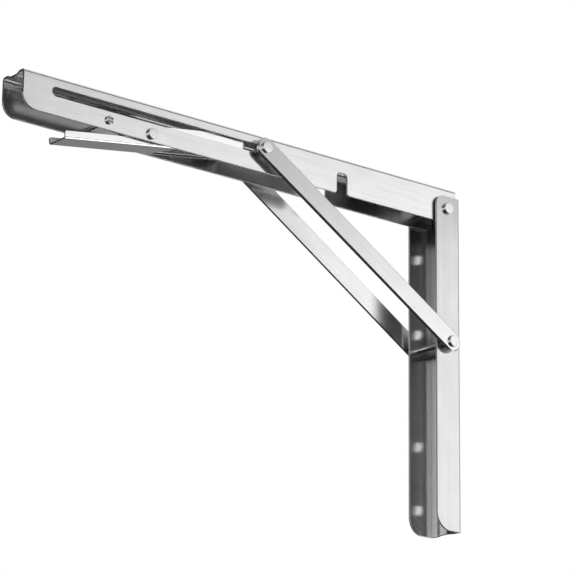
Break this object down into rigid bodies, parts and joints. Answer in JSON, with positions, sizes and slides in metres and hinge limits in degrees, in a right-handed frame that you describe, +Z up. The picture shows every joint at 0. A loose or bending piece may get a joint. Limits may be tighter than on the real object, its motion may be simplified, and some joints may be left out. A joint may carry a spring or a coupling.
{
  "type": "folding shelf bracket",
  "caption": "Folding shelf bracket: a slotted shelf arm hinged on a wall channel, held level by sliding brace bars and let down by a sprung release lever.",
  "frame": {"origin": "on the wall face, in the bracket's middle plane, level with the face that the shelf lies on", "axes": "+Y into the wall, -Y along the unfolded arm, +Z up, X across the bracket"},
  "size_m": [0.058, 0.4975, 0.3322],
  "materials": {
    "sheet": "brushed along its length, satin",
    "bar": "brushed along its length, satin",
    "rivet": "turned, light polish",
    "spring": "drawn wire"
  },
  "bodies": {
    "leg": {"wall_leg": "sheet", "hinge_pin": "rivet", "hinge_washer_right": "rivet", "hinge_washer_left": "rivet", "lower_pin": "rivet", "lower_spacer_right": "rivet", "lower_spacer_left": "rivet"},
    "arm": {"shelf_arm": "sheet", "lever_pin": "rivet", "lever_washer_right": "rivet", "lever_washer_left": "rivet", "spring_pin": "rivet", "lever_spring": "spring"},
    "lever": {"release_lever": "sheet", "lever_spring_end": "spring"},
    "brace": {"brace_bar_right": "bar", "brace_bar_left": "bar", "brace_rivet_right": "rivet", "brace_rivet_left": "rivet"},
    "slider": {"slide_stud_right": "rivet", "slide_stud_left": "rivet", "slide_bush_right": "rivet", "slide_bush_left": "rivet"}
  },
  "joints": [
    {"name": "arm_fold", "type": "hinge", "parent": "leg", "child": "arm", "pos_m": [0, -0.016, -0.0215], "axis": [1, 0, 0], "range_deg": [0, 90]},
    {"name": "brace_fold", "type": "hinge", "parent": "leg", "child": "brace", "pos_m": [0, -0.016, -0.1535], "axis": [1, 0, 0], "range_deg": [0, 120.2]},
    {"name": "pin_slide", "type": "slide", "parent": "arm", "child": "slider", "axis": [0, -1, 0], "range_m": [0, 0.172]},
    {"name": "lever_press", "type": "hinge", "parent": "arm", "child": "lever", "pos_m": [0, -0.3634, -0.0277], "axis": [-1, 0, 0], "range_deg": [0, 8.7], "stiffness_Nm_per_rad": 1, "springref_deg": -14.32}
  ],
  "couplings": [
    {"joint": "brace_fold", "follows": "arm_fold", "ratio": 1.3346},
    {"joint": "pin_slide", "follows": "arm_fold", "m_per_rad": 0.10938}
  ]
}
